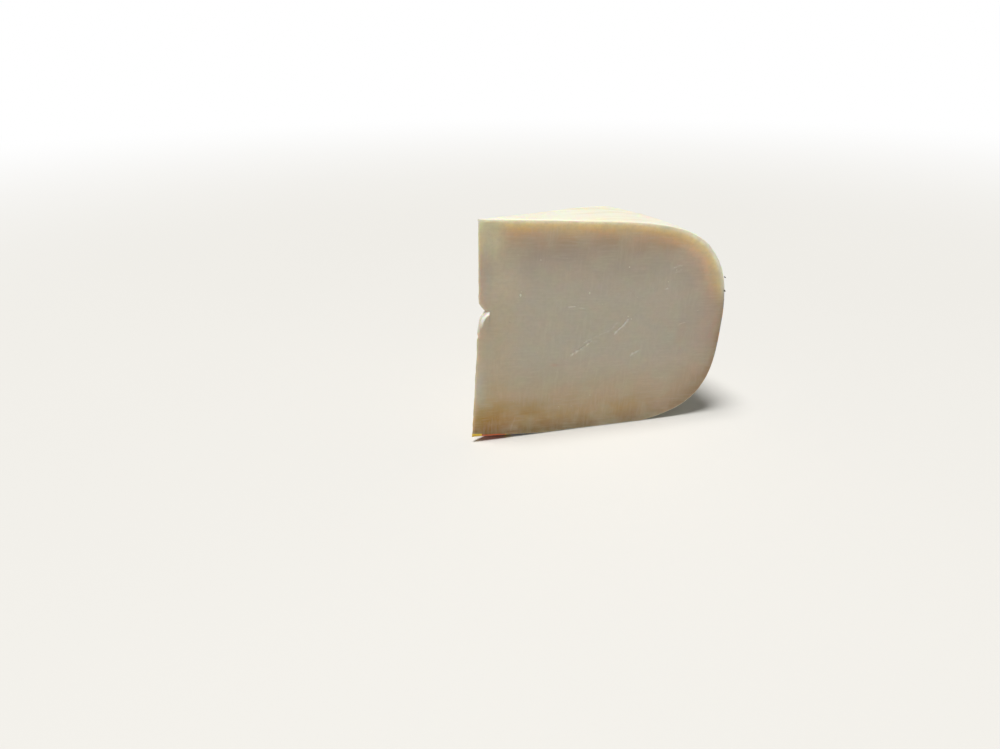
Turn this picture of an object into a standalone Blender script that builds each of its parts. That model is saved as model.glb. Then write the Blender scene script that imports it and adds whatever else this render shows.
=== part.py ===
"""A wedge of goat's milk gouda: one twelfth of a low round wheel, standing on its flat side.

The wheel is turned about its own axis, leans a little with its tip end raised, settles flat
where it rests, and is then cut out by a wedge-shaped knife block. A printed band runs round
the rind, and a round label covers the middle of the lower flat side. Both lie in shallow
recesses of the rind, flush with it.

Wheel frame: origin at the middle of the wheel, +Z along its axis, +X along the wedge's
bisector. Part frame: the near cut face runs along +X and faces -Y, the tip points to -X,
+Z is up, and the origin is under the middle of the part's box, on the ground.
"""
import math

import bmesh
import bpy
from mathutils import Matrix, Vector

# The wheel, in metres.
WHEEL_RADIUS = 0.1192
WHEEL_HEIGHT = 0.100
TOP_FLATNESS = 7.1
TOP_SHOULDER = 2.46
BASE_FLATNESS = 4.6
BASE_SHOULDER = 3.2
PROFILE_STEP = 0.0045
TURN_STEPS = 100
FINE_STEPS = 400
WELD_DISTANCE = 0.00001
ON_THE_SKIN = 0.00002
SHARP_ANGLE = math.radians(35)

# How the wedge stands: its lean, and how deep the soft base has settled.
LEAN = math.radians(4.3)
CENTRE_ABOVE_GROUND = 0.0525
SETTLING_DEPTH = 0.030

# The cuts, and the slight waviness that the wire leaves: how many waves fit a cut face's
# length and half its height, and where they start.
WEDGE_ANGLE = math.radians(30.0)
KNIFE_OVERSIZE = 1.12
CUT_STEPS = 15
CUT_GRADING = 1.25
CUT_BOW = 0.0005
BOW_START = 0.020
BOW_WAVES_ALONG = 0.65
BOW_WAVES_UP = 0.27
BOW_SHIFT_ALONG = 0.6
BOW_SHIFT_UP = 0.9
LAYER_STEP = 0.0062
FINE_LAYER_STEP = 0.0013

# The blunt tip. Its setback closes towards the top, above the split.
TIP_SETBACK = 0.0029
TIP_CLOSING = 0.0026
TIP_CLOSING_START = 0.014
TIP_BLUNTING = 0.0011
TIP_BLUNT_SHARE = 0.4
TIP_RAGGEDNESS = 0.0002
TIP_WAVES = 7
TIP_SWELLS = 3
TIP_STEPS = 4

# The split in the tip: a nick with a straight upper side and a rounded lower lip.
SPLIT_DEPTH = 0.0050
SPLIT_HEIGHT = 0.0101
SPLIT_MOUTH = 0.0039
LIP_ROUNDING = 0.0020
SPLIT_LAYERS = 5
FAR_SPLIT_SHARE = 0.8

# The printed band round the rind and the round label under the base.
SKIN_THICKNESS = 0.00035
SKIN_GAP = 0.0003
SKIN_SUNK = 0.0001
RECESS_CLEARANCE = 0.002
BAND_MIDDLE = 0.0015
BAND_WIDTH = 0.032
LABEL_RADIUS = 0.056
LABEL_HOLE = 0.001

HALF_ANGLE = WEDGE_ANGLE / 2
HALF_HEIGHT = WHEEL_HEIGHT / 2
TURN_TO_PART = Matrix.Rotation(HALF_ANGLE, 4, "Z")
STANCE = (Matrix.Translation((0, 0, CENTRE_ABOVE_GROUND))
          @ TURN_TO_PART @ Matrix.Rotation(LEAN, 4, "Y"))

COLOURS = {
    "cheese_wedge": ((0.72, 0.62, 0.43), 0.45),
    "rind_band": ((0.25, 0.29, 0.40), 0.40),
    "base_label": ((0.66, 0.40, 0.06), 0.45),
}


# Plain helpers.

def clear_scene():
    for thing in list(bpy.data.objects):
        bpy.data.objects.remove(thing, do_unlink=True)


def make_collection(name, hidden=False):
    group = bpy.data.collections.new(name)
    bpy.context.scene.collection.children.link(group)
    group.hide_render = hidden
    return group


def add_object(name, mesh, group):
    thing = bpy.data.objects.new(name, mesh)
    group.objects.link(thing)
    return thing


def mark_cutter(thing):
    thing.hide_render = True
    thing.display_type = "WIRE"


def freeze(thing):
    """Swap an object's mesh for the one that its modifiers give."""
    graph = bpy.context.evaluated_depsgraph_get()
    mesh = bpy.data.meshes.new_from_object(thing.evaluated_get(graph))
    thing.modifiers.clear()
    thing.data = mesh


def cut(thing, cutter, operation):
    step = thing.modifiers.new(operation.lower(), "BOOLEAN")
    step.operation = operation
    step.solver = "EXACT"
    step.object = cutter
    freeze(thing)


def paint(thing):
    colour, roughness = COLOURS[thing.name]
    material = bpy.data.materials.new(thing.name)
    material.use_nodes = True
    shader = material.node_tree.nodes["Principled BSDF"]
    shader.inputs["Base Color"].default_value = (*colour, 1.0)
    shader.inputs["Roughness"].default_value = roughness
    shader.inputs["Metallic"].default_value = 0.0
    thing.data.materials.clear()
    thing.data.materials.append(material)


# The wheel's outline, as pairs of radius and height.

def half_outline(flatness, shoulder, side):
    """A squarish quarter curve from the axis out to the widest point."""
    points = []
    for step in range(FINE_STEPS + 1):
        radius = WHEEL_RADIUS * math.sin(math.pi / 2 * step / FINE_STEPS)
        fall = max(0.0, 1 - (radius / WHEEL_RADIUS) ** flatness)
        points.append(Vector((radius, side * HALF_HEIGHT * fall ** (1 / shoulder))))
    return points


def even_steps(points, spacing):
    """Points a steady distance apart along a line."""
    lengths = [0.0]
    for first, second in zip(points, points[1:]):
        lengths.append(lengths[-1] + (second - first).length)
    count = max(1, round(lengths[-1] / spacing))
    spaced = []
    place = 0
    for step in range(count + 1):
        target = lengths[-1] * step / count
        while place < len(points) - 2 and lengths[place + 1] < target:
            place += 1
        share = (target - lengths[place]) / (lengths[place + 1] - lengths[place])
        spaced.append(points[place].lerp(points[place + 1], share))
    return spaced


def inset(points, depth):
    """Move a line that runs from top to base by a depth towards the cheese."""
    moved = []
    for index, point in enumerate(points):
        before = points[max(index - 1, 0)]
        after = points[min(index + 1, len(points) - 1)]
        along = (after - before).normalized()
        inward = Vector((along.y, -along.x))
        place = point + depth * inward
        moved.append(Vector((max(place.x, 0.0), place.y)))
    return moved


def wheel_outline():
    top = even_steps(half_outline(TOP_FLATNESS, TOP_SHOULDER, 1), PROFILE_STEP)
    base = even_steps(half_outline(BASE_FLATNESS, BASE_SHOULDER, -1), PROFILE_STEP)
    return top + base[-2::-1]


def base_height(radius):
    share = min(radius / WHEEL_RADIUS, 1.0)
    return -HALF_HEIGHT * (1 - share ** BASE_FLATNESS) ** (1 / BASE_SHOULDER)


def side_strip(half_width):
    """The stretch of the rind that the band covers, from its upper to its lower edge."""
    strip = []
    for step in range(FINE_STEPS + 1):
        height = BAND_MIDDLE + half_width * (1 - 2 * step / FINE_STEPS)
        flatness, shoulder = TOP_FLATNESS, TOP_SHOULDER
        if height < 0:
            flatness, shoulder = BASE_FLATNESS, BASE_SHOULDER
        fall = 1 - (abs(height) / HALF_HEIGHT) ** shoulder
        strip.append(Vector((WHEEL_RADIUS * fall ** (1 / flatness), height)))
    return even_steps(strip, PROFILE_STEP)


def base_disc(radius):
    """The stretch of the base that the label covers, from its rim almost to the axis."""
    steps = round(radius / PROFILE_STEP)
    places = [radius + (LABEL_HOLE - radius) * step / steps for step in range(steps + 1)]
    return [Vector((place, base_height(place))) for place in places]


# Solids in the wheel frame.

def turned(name, outline, group, closed):
    """Turn an outline in the XZ plane right round the wheel's axis."""
    corners = [(point.x, 0.0, point.y) for point in outline]
    edges = [(index, index + 1) for index in range(len(corners) - 1)]
    if closed:
        edges.append((len(corners) - 1, 0))
    mesh = bpy.data.meshes.new(name)
    mesh.from_pydata(corners, edges, [])
    thing = add_object(name, mesh, group)
    screw = thing.modifiers.new("turn", "SCREW")
    screw.axis = "Z"
    screw.angle = math.tau
    screw.steps = TURN_STEPS
    screw.render_steps = TURN_STEPS
    screw.use_merge_vertices = True
    screw.merge_threshold = WELD_DISTANCE
    screw.use_normal_calculate = True
    freeze(thing)
    return thing


def skin(name, stretch, outer, inner, group):
    """A thin turned solid along a stretch of the rind, between two depths below it."""
    return turned(name, inset(stretch, outer) + inset(stretch, inner)[::-1], group, True)


def split_depth(height):
    """How far the split eats into the tip at a height."""
    above = height - SPLIT_HEIGHT
    if above > 0:
        return SPLIT_DEPTH * max(0.0, 1 - above / SPLIT_MOUTH)
    return SPLIT_DEPTH * math.exp(above / LIP_ROUNDING)


def tip_start(height, share):
    """Distance from the axis at which a cut face starts."""
    closed = (height - TIP_CLOSING_START) / (HALF_HEIGHT - TIP_CLOSING_START)
    closing = TIP_CLOSING * min(1.0, max(0.0, closed))
    turns = math.tau * height / HALF_HEIGHT
    ragged = TIP_RAGGEDNESS * math.sin(TIP_WAVES * turns) * math.cos(TIP_SWELLS * turns)
    return TIP_SETBACK - closing + ragged + share * split_depth(height)


def cut_bow(distance, height, side):
    """The slight waviness that a wire leaves on a cut face, fading out at the tip."""
    turns_along = math.tau * BOW_WAVES_ALONG * distance / WHEEL_RADIUS
    turns_up = math.tau * BOW_WAVES_UP * height / HALF_HEIGHT
    along = math.sin(turns_along + BOW_SHIFT_ALONG * side)
    up = math.cos(turns_up + BOW_SHIFT_UP * side)
    return CUT_BOW * along * up * min(1.0, distance / BOW_START)


def cut_point(distance, height, side):
    """A point of the near (side -1) or far (side +1) cut face."""
    angle = side * HALF_ANGLE
    along = Vector((math.cos(angle), math.sin(angle), 0.0))
    outward = Vector((-side * math.sin(angle), side * math.cos(angle), 0.0))
    level = Vector((0.0, 0.0, height))
    return distance * along + cut_bow(distance, height, side) * outward + level


def knife_outline(height):
    """The knife block's outline at a height: near face, far face and the blunt tip."""
    near_start = tip_start(height, 1.0)
    far_start = tip_start(height, FAR_SPLIT_SHARE)
    reach = KNIFE_OVERSIZE * WHEEL_RADIUS
    near = []
    far = []
    for step in range(CUT_STEPS + 1):
        share = (step / CUT_STEPS) ** CUT_GRADING
        near.append(cut_point(near_start + (reach - near_start) * share, height, -1))
        far.append(cut_point(far_start + (reach - far_start) * share, height, 1))
    middle = (near_start + far_start) / 2
    blunting = min(TIP_BLUNT_SHARE * middle, TIP_BLUNTING)
    control = Vector((middle - blunting, 0.0, height))
    tip = []
    for step in range(1, TIP_STEPS):
        share = step / TIP_STEPS
        first = far[0].lerp(control, share)
        second = control.lerp(near[0], share)
        tip.append(first.lerp(second, share))
    return near + far[::-1] + tip


def knife_levels():
    """Heights of the knife block's layers, close together round the split."""
    reach = KNIFE_OVERSIZE * HALF_HEIGHT
    fine = range(-SPLIT_LAYERS, SPLIT_LAYERS + 1)
    levels = [SPLIT_HEIGHT + FINE_LAYER_STEP * step for step in fine]
    while levels[0] > -reach:
        levels.insert(0, levels[0] - LAYER_STEP)
    while levels[-1] < reach:
        levels.append(levels[-1] + LAYER_STEP)
    return levels


def knife_block(group):
    """The block that a wedge is cut out with, built up layer by layer."""
    bm = bmesh.new()
    place = bm.verts.layers.int.new("place")
    levels = knife_levels()
    corners = [bm.verts.new(point) for point in knife_outline(levels[0])]
    for index, corner in enumerate(corners):
        corner[place] = index
    top = bmesh.ops.contextual_create(bm, geom=corners)["faces"][0]
    for height in levels[1:]:
        below = top
        raised = bmesh.ops.extrude_face_region(bm, geom=[below])["geom"]
        top = next(part for part in raised if isinstance(part, bmesh.types.BMFace))
        outline = knife_outline(height)
        for corner in top.verts:
            corner.co = outline[corner[place]]
        if height > levels[1]:
            bm.faces.remove(below)
    bmesh.ops.recalc_face_normals(bm, faces=bm.faces)
    mesh = bpy.data.meshes.new("knife_block")
    bm.to_mesh(mesh)
    bm.free()
    return add_object("knife_block", mesh, group)


# From the wheel frame to how the wedge stands.

def stand(thing):
    """Lean a solid as the wedge leans, and settle its base flat on the ground."""
    for vertex in thing.data.vertices:
        place = vertex.co.copy()
        radius = math.hypot(place.x, place.y)
        skin_point = Vector((place.x, place.y, base_height(radius)))
        rise = max(0.0, -(STANCE @ skin_point).z)
        depth = place.z - skin_point.z
        fade = min(1.0, max(0.0, 1 - depth / SETTLING_DEPTH))
        vertex.co = STANCE @ place
        vertex.co.z += rise * fade
        if rise > 0 and abs(depth) < ON_THE_SKIN:
            vertex.co.z = 0.0


def centre_on_ground(things):
    """Bring the origin under the middle of the whole part's box."""
    corners = [vertex.co for thing in things for vertex in thing.data.vertices]
    middle_x = (min(c.x for c in corners) + max(c.x for c in corners)) / 2
    middle_y = (min(c.y for c in corners) + max(c.y for c in corners)) / 2
    shift = Matrix.Translation((-middle_x, -middle_y, 0))
    for thing in things:
        thing.data.transform(shift)
    print("wheel centre in the part frame:", (shift @ STANCE).translation[:])


def main():
    clear_scene()
    parts = make_collection("goat_gouda_wedge")
    cutters = make_collection("cutters", hidden=True)

    cheese = turned("cheese_wedge", wheel_outline(), parts, False)
    strip = side_strip(BAND_WIDTH / 2)
    wide_strip = side_strip(BAND_WIDTH / 2 + SKIN_GAP)
    disc = base_disc(LABEL_RADIUS)
    wide_disc = base_disc(LABEL_RADIUS + SKIN_GAP)
    skin_floor = SKIN_SUNK + SKIN_THICKNESS
    recess_floor = skin_floor + SKIN_GAP
    band = skin("rind_band", strip, SKIN_SUNK, skin_floor, parts)
    label = skin("base_label", disc, SKIN_SUNK, skin_floor, parts)
    band_recess = skin("band_recess", wide_strip, -RECESS_CLEARANCE, recess_floor, cutters)
    label_recess = skin("label_recess", wide_disc, -RECESS_CLEARANCE, recess_floor, cutters)
    knife = knife_block(cutters)

    for thing in (cheese, band, label, band_recess, label_recess):
        stand(thing)
    knife.data.transform(STANCE)
    for thing in (cheese, band, label):
        cut(thing, knife, "INTERSECT")
    cut(cheese, band_recess, "DIFFERENCE")
    cut(cheese, label_recess, "DIFFERENCE")

    centre_on_ground((cheese, band, label))
    for thing in (knife, band_recess, label_recess):
        mark_cutter(thing)
    for thing in (cheese, band, label):
        thing.data.shade_smooth()
        thing.data.set_sharp_from_angle(angle=SHARP_ANGLE)
        paint(thing)


main()
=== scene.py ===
"""How a wedge of goat's milk gouda looks: cut paste, coated rind, printed band and round label.

Lengths are in metres. The wheel frame has its origin at the middle of the wheel that the wedge
was cut from, +Z along the wheel's axis and +X along the wedge's bisector. A place on a cut
face is given as its distance from the axis and its height in that frame. The cheese is shaped
there, then leaned and settled on its soft base as the frame's solids are.
"""

import math
import random

import bmesh
import bpy
import numpy as np
from mathutils import Matrix, Vector, noise


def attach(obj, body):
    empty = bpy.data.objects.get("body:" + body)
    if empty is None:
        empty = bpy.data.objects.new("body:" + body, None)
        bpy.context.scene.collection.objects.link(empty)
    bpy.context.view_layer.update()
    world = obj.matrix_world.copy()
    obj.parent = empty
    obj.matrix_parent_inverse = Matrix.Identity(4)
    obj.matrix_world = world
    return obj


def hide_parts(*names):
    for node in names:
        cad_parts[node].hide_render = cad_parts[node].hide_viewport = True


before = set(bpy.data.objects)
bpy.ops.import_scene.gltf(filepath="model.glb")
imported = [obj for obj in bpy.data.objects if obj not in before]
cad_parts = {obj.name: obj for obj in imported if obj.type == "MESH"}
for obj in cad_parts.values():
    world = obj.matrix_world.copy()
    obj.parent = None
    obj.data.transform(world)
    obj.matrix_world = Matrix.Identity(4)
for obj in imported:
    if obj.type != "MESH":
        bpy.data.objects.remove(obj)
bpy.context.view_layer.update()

MM = 0.001

# The wheel, as in the frame's solids. In its section, distance ** flatness + height ** shoulder
# is 1, both as shares of the radius and of half the height.
WHEEL_RADIUS = 0.1192
WHEEL_HEIGHT = 0.100
TOP_FLATNESS = 7.1
TOP_SHOULDER = 2.46
BASE_FLATNESS = 4.6
BASE_SHOULDER = 3.2
HALF_HEIGHT = WHEEL_HEIGHT / 2
HALF_ANGLE = math.radians(15.0)
CORNER_SHARE = 0.90

# How it stands.
LEAN = math.radians(4.3)
SETTLING_DEPTH = 0.030
WHEEL_CENTRE = Vector((-0.058850, -0.029162, 0.0525))
STANCE = (Matrix.Translation(WHEEL_CENTRE) @ Matrix.Rotation(HALF_ANGLE, 4, "Z")
          @ Matrix.Rotation(LEAN, 4, "Y"))

# The slight waviness that the wire leaves in a cut: its depth, how far from the axis it is
# full, how many waves fit the face's length and half its height, and how they are shifted.
CUT_BOW = 0.0005
BOW_START = 0.020
BOW_WAVES_ALONG = 0.65
BOW_WAVES_UP = 0.27
BOW_SHIFT_ALONG = 0.6
BOW_SHIFT_UP = 0.9
UNEVENNESS = 0.00014
UPRIGHT_DRAG = 0.000035
LEVEL_DRAG = 0.000022

# How far the cut paste has shrunk back: all over, more away from the stiff rind, and more beside
# the tip, with the reach of those two. In the narrow tip it is at most a share of the wedge's
# half width, less towards the top. CUT_BACKING is how far behind the cut all this dies out.
FACE_INSET = 0.0002
RIND_SHRINKAGE = 0.00016
RIND_SHRINKAGE_REACH = 0.0011
TIP_SHRINKAGE = 0.00016
TIP_SHRINKAGE_REACH = 0.0013
MOST_INSET_SHARE = 0.70
MOST_INSET_SHARE_TOP = 0.42
CUT_BACKING = 0.003

# How round the edges between rind and cut are: over most of the wedge, and under BASE_EDGE_TOP
# at the label's middle and its rim. In the narrow tip it is at most a share of the width.
EDGE_ROUNDING = 0.0007
LABEL_EDGE_ROUNDING = 0.0010
LABEL_RIM_ROUNDING = 0.00035
BASE_EDGE_TOP = -0.030
NEAR_ROUNDING_SHARE = 0.54
FAR_ROUNDING_SHARE = 0.30

# The blunt tip. Its setback closes towards the top, where a sliver of rind curls out of it.
TIP_SETBACK = 0.0029
TIP_CLOSING = 0.0026
TIP_CLOSING_START = 0.014
TIP_BLUNT_SHARE = 0.18
TIP_END_REACH = 0.004
TIP_REACH = 0.030
TIP_CURL = 0.0006
TIP_CURL_FALL = 0.0005
TIP_RAGGEDNESS = 0.0002
# How wide the painted highlight along the tip's edge is.
TIP_EDGE_HIGHLIGHT_WIDTH = 0.00045
TIP_DENTS = [(-0.0010, 0.0006, 0.0006), (-0.0110, 0.0040, 0.00035), (-0.0270, 0.0040, 0.0002)]

# The split in the tip: a nick with a straight upper side and a hollow face above it. Its lower
# lip slopes out of the cut face, and the slope runs on a little past the nick's end. LIP_LOW
# gives how far below the nick the slope starts and is full.
SPLIT_DEPTH = 0.0040
SPLIT_HEIGHT = 0.0101
SPLIT_MOUTH = 0.0039
LIP_ROUNDING = 0.0020
LIP_END = 0.0076
LIP_END_SLOPE = 0.0007
LIP_LOW = (-0.009, -0.003)
LIP_STAND = 0.00120
LIP_WIDTH = 0.0012
LIP_FALL = 0.0036
HOLLOW_DEPTH = 0.0005
HOLLOW_FALL = 0.0016
HOLLOW_REACH = 0.0024
FAR_LIP_SHARE = 0.35

# The rind: its wrinkles and dents, how much of them shows through a film, how far they lie
# below the wheel's surface, and the depth at which they have died out.
FOLD_DEPTH = 0.00026
STREAK_DEPTH = 0.000035
DENT_DEPTH = 0.00016
COVERED_RELIEF = 0.25
RIND_CLEARANCE = 0.00006
RIND_BACKING = 0.002

# The printed films. Both lie in the rind, a little below its surface. Behind the tip, the
# label's edge is pulled in from the cuts.
BAND_MIDDLE = 0.0015
BAND_WIDTH = 0.032
LABEL_RADIUS = 0.056
FILM_BED = 0.00017
FILM_THICKNESS = 0.00013
FILM_LIFT = 0.00013
BED_SLOPE = 0.0009
RIND_SUNK = 0.00003
LABEL_PULL = 0.0010
LABEL_PULL_START = 0.019
LABEL_PULL_END = 0.022

# How far the wire dragged the label up the cut faces: distance from the axis, and height.
LABEL_WRAP = [(0.0066, 0.0021), (0.0076, 0.0014), (0.012, 0.0014), (0.0175, 0.0012),
              (0.019, 0.0005), (0.021, 0.0)]

# Flakes of the band at the near cut edge: distance from the axis, height and size.
BAND_SCRAPS = [(0.1165, 0.0246, 0.0006), (0.1175, 0.0182, 0.0008)]

# Scratches on the near cut face: start, end, depth, width and how broken up each is.
SCRATCHES = [
    ((0.0457, -0.0110), (0.0556, -0.0042), 0.00040, 0.00034, 0.9),
    ((0.0516, -0.0051), (0.0553, -0.0031), 0.00020, 0.00026, 0.6),
    ((0.0560, -0.0027), (0.0640, 0.0012), 0.00012, 0.00030, 0.7),
    ((0.0640, 0.0012), (0.0665, 0.0045), 0.00014, 0.00030, 0.6),
    ((0.0655, -0.0013), (0.0717, 0.0060), 0.00042, 0.00032, 0.3),
    ((0.0748, -0.0122), (0.0793, -0.0092), 0.00040, 0.00028, 0.3),
    ((0.0425, 0.0121), (0.0460, 0.0123), 0.00024, 0.00032, 0.2),
    ((0.0476, 0.0115), (0.0506, 0.0112), 0.00014, 0.00032, 0.2),
    ((0.0898, 0.0290), (0.0940, 0.0308), 0.00018, 0.00030, 0.5),
    ((0.0910, 0.0270), (0.0948, 0.0286), 0.00014, 0.00028, 0.5),
    ((0.0876, 0.0197), (0.0894, 0.0198), 0.00022, 0.00030, 0.1),
    ((0.0970, 0.0026), (0.1004, 0.0037), 0.00016, 0.00030, 0.2),
    ((0.0200, -0.0480), (0.0216, -0.0405), 0.00006, 0.00030, 0.2),
]
SCRATCH_MARGIN = 0.0011

# Reddish marks on the near cut face: start, end, width and strength.
BLUSHES = [
    ((0.0372, -0.0158), (0.0442, -0.0163), 0.00035, 0.9),
    ((0.0995, -0.0092), (0.1005, -0.0092), 0.0011, 0.7),
    ((0.0984, -0.0070), (0.0990, 0.0040), 0.0022, 0.30),
    ((0.1140, -0.0050), (0.1160, 0.0090), 0.0011, 0.45),
]

# The crumbs that catch the eye on the near face: distance from the axis, height and size.
NEAR_CRUMBS = [
    (0.0204, 0.0174, 0.00046), (0.0206, 0.0190, 0.00024), (0.0515, 0.0181, 0.00036),
    (0.0688, 0.0297, 0.00028), (0.0905, 0.0294, 0.00034), (0.0918, 0.0282, 0.00022),
    (0.0940, 0.0300, 0.00024), (0.0885, 0.0198, 0.00034), (0.0885, 0.0228, 0.00022),
    (0.0712, 0.0069, 0.00030), (0.0730, 0.0057, 0.00026), (0.0462, -0.0106, 0.00034),
]
CRUMBED_SCRATCHES = 2
SCRATCH_CRUMB_STEP = 0.0011
STRAY_CRUMBS = 46

# The grid of the cheese's mesh: its finest and widest steps, the width it is laid out for, and
# how near its end a share counts as there.
FINEST_STEP = 0.00016
WIDEST_STEP_ACROSS = 0.00105
WIDEST_STEP_ROUND = 0.00086
WIDEST_STEP_UP = 0.0010
SPLIT_STEP = 0.00020
GRID_WIDTH = 0.062
TINY = 0.00001

# The camera, from where the photograph was taken, and the light's direction.
CAMERA_PLACE = Vector((WHEEL_CENTRE.x - 0.05643, WHEEL_CENTRE.y - 0.28950, 0.1712))
CAMERA_TURN = math.radians(-13.32)
CAMERA_PITCH = math.radians(25.006)
CAMERA_ROLL = math.radians(-0.506)
CAMERA_LENS = 26.55
CAMERA_SENSOR = 36.0
TOWARDS_LIGHT = Vector((-0.18, -0.05, 0.98))


# Lines of the wheel's section, as arrays of distance from the axis and height.

def base_height(radius):
    share = np.minimum(radius / WHEEL_RADIUS, 1.0)
    return -HALF_HEIGHT * (1 - share ** BASE_FLATNESS) ** (1 / BASE_SHOULDER)


def section_powers(height):
    """The section's flatness and shoulder at an array of heights."""
    above = height >= 0
    return (np.where(above, TOP_FLATNESS, BASE_FLATNESS),
            np.where(above, TOP_SHOULDER, BASE_SHOULDER))


def flat_side(flatness, shoulder, side, steps=900):
    """The top (side 1) or base (side -1), from the axis to the corner of the section."""
    radius = np.linspace(0, CORNER_SHARE * WHEEL_RADIUS, steps)
    fall = 1 - (radius / WHEEL_RADIUS) ** flatness
    return np.stack([radius, side * HALF_HEIGHT * fall ** (1 / shoulder)], axis=1)


def round_side(low, high, steps=1800):
    """The side of the wheel between two heights."""
    height = np.linspace(low, high, steps)
    flatness, shoulder = section_powers(height)
    fall = 1 - (np.abs(height) / HALF_HEIGHT) ** shoulder
    return np.stack([WHEEL_RADIUS * fall ** (1 / flatness), height], axis=1)


TOP_LINE = flat_side(TOP_FLATNESS, TOP_SHOULDER, 1)
BASE_LINE = flat_side(BASE_FLATNESS, BASE_SHOULDER, -1)
SIDE_LINE = round_side(BASE_LINE[-1, 1], TOP_LINE[-1, 1])
TIP_LINE = np.array([[0.0, -HALF_HEIGHT], [0.0, HALF_HEIGHT]])
RIND_LINE = np.concatenate([BASE_LINE, SIDE_LINE, TOP_LINE[::-1]])


def line_length(line):
    return float(np.linalg.norm(np.diff(line, axis=0), axis=1).sum())


def along(line, share):
    """Points at given shares of a line's length."""
    steps = np.linalg.norm(np.diff(line, axis=0), axis=1)
    reach = np.concatenate([[0.0], np.cumsum(steps)])
    places = share * reach[-1]
    return np.stack([np.interp(places, reach, line[:, axis]) for axis in (0, 1)], axis=1)


def section_point(across, up):
    """Fill the section smoothly: across runs from tip to rind, up from base to top."""
    base, top = along(BASE_LINE, across), along(TOP_LINE, across)
    tip, side = along(TIP_LINE, up), along(SIDE_LINE, up)
    a = across[:, None]
    u = up[:, None]
    flats = (1 - u) * base + u * top
    ends = (1 - a) * tip + a * side
    corners = ((1 - a) * ((1 - u) * TIP_LINE[0] + u * TIP_LINE[1])
               + a * ((1 - u) * BASE_LINE[-1] + u * TOP_LINE[-1]))
    return flats + ends - corners


def distance_to_rind(points):
    thinned = RIND_LINE[::4]
    nearest = []
    for chunk in np.array_split(points, max(1, len(points) // 4000)):
        gaps = np.linalg.norm(chunk[:, None, :] - thinned[None, :, :], axis=2)
        nearest.append(gaps.min(axis=1))
    return np.concatenate(nearest)


def rind_direction(radius, height):
    """The outward direction of the rind, from the slope of the section's own formula."""
    flatness, shoulder = section_powers(height)
    out = flatness / WHEEL_RADIUS * (radius / WHEEL_RADIUS) ** (flatness - 1)
    up = shoulder / HALF_HEIGHT * (np.abs(height) / HALF_HEIGHT) ** (shoulder - 1)
    direction = np.stack([out, np.sign(height) * up], axis=1)
    return direction / np.linalg.norm(direction, axis=1, keepdims=True)


# Soft steps and noise.

def ease(value, low, high):
    """0 below low, 1 above high, and a smooth slope between."""
    share = np.clip((value - low) / (high - low), 0, 1)
    return share * share * (3 - 2 * share)


def between(first, second, share):
    return first + (second - first) * share


def bell(value, width):
    return np.exp(-(value / width) ** 2)


def fade_out(value, reach):
    """1 at zero and 0 from reach on."""
    return np.clip(1 - value / reach, 0, 1) ** 2


def rough(points, scale, seed, octaves=3):
    """Smooth uneven values at an array of points, about -1 to 1. Flat points lie at the seed."""
    spots = points / np.array(scale)
    if spots.shape[1] == 2:
        spots = np.column_stack([spots, np.broadcast_to(seed, len(spots))])
    else:
        spots = spots + seed
    return np.array([noise.fractal(spot, 1.0, 2.1, octaves) for spot in spots])


# The cut faces.

def split_depth(height):
    """How far the split eats into the tip at a height."""
    above = height - SPLIT_HEIGHT
    upper = SPLIT_DEPTH * np.clip(1 - above / SPLIT_MOUTH, 0, None)
    lower = SPLIT_DEPTH * np.exp(np.minimum(above, 0) / LIP_ROUNDING)
    return np.where(above > 0, upper, lower)


def tip_start(height, side):
    """Distance from the axis at which a cut face starts."""
    closed = np.clip((height - TIP_CLOSING_START) / (HALF_HEIGHT - TIP_CLOSING_START), 0, 1)
    points = np.stack([height, 0.3 * MM * side], axis=1)
    ragged = TIP_RAGGEDNESS * rough(points, (3.2 * MM, 1 * MM), 4.0, 4) * (1 - 0.6 * closed)
    dents = sum(depth * bell(height - place, width) for place, width, depth in TIP_DENTS)
    return TIP_SETBACK - TIP_CLOSING * closed + ragged + dents + split_depth(height)


def split_relief(radius, height, from_tip):
    """How far the face stands out beside the split, and where the lip's slope is painted with a
    highlight.
    """
    above = height - SPLIT_HEIGHT
    slope = split_depth(np.minimum(height, SPLIT_HEIGHT)) / LIP_ROUNDING
    from_nick = np.minimum(from_tip / np.hypot(1, slope), np.clip(-above, 0, None))
    reach = ease(above, *LIP_LOW) * (1 - ease(radius, LIP_END - LIP_END_SLOPE, LIP_END))
    beyond = np.clip(from_nick - LIP_WIDTH, 0, None)
    lip = LIP_STAND * reach * ease(from_nick, -0.2 * MM, LIP_WIDTH) * np.exp(-beyond / LIP_FALL)
    # Painted highlight on the lip's slope, as if it caught the light from above.
    lip_highlight = reach * (above < 0) * (1 - ease(from_nick, 0.6 * LIP_WIDTH, 1.3 * LIP_WIDTH))
    hollow = ease(above, 0, 0.6 * MM) * np.exp(-np.clip(above, 0, None) / HOLLOW_FALL)
    return lip - HOLLOW_DEPTH * hollow * bell(from_tip, HOLLOW_REACH), lip_highlight


def along_mark(radius, height, start, end, wobble):
    """Places along and beside a mark, and how far inside its ends they are, from 0 to 1."""
    run = np.array(end) - np.array(start)
    length = np.linalg.norm(run)
    run = run / length
    offset = np.stack([radius - start[0], height - start[1]], axis=1)
    place = offset @ run
    aside = offset @ np.array([-run[1], run[0]]) - wobble * np.sin(place / (1.3 * MM))
    inside = ease(place, -0.6 * MM, 0.5 * MM) * (1 - ease(place, length - MM, length + 0.3 * MM))
    return place, aside, inside


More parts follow.
